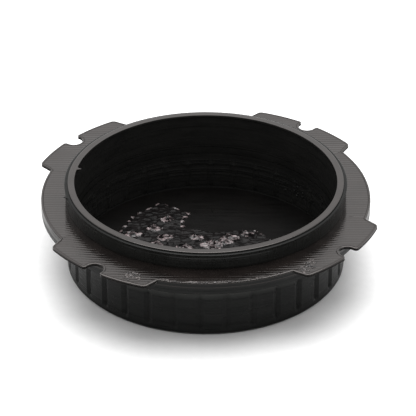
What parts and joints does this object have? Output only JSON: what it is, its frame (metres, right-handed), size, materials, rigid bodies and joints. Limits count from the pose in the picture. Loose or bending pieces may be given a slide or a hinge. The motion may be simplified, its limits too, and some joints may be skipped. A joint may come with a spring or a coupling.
{
  "type": "bayonet cap",
  "caption": "Shallow round twist-on cap with a thin open collar, a flat flange with notched bayonet lugs, a fluted grip wall and a closed floor, in black printed plastic.",
  "frame": {"origin": "centre of the resting face, on the cap's axis", "axes": "+Z along the cap's axis from the closed floor to the open rim, +X to the right seen from the front, which is -Y"},
  "size_m": [0.065, 0.065, 0.018],
  "materials": {
    "wall_plastic": "black printed plastic with fine horizontal layer lines and a low satin sheen",
    "flange_plastic": "black printed plastic with fine parallel raster lines, satin",
    "torn_plastic": "torn, crumpled and glossy black plastic"
  },
  "bodies": {
    "root": {"base_disc": "wall_plastic", "grip_skirt": "wall_plastic", "collar_sleeve": "wall_plastic", "flange_ring": "flange_plastic", "lug_back_right": "flange_plastic", "lug_back_left": "flange_plastic", "lug_front_left": "flange_plastic", "lug_front_right": "flange_plastic", "support_residue": "torn_plastic"}
  },
  "joints": []
}
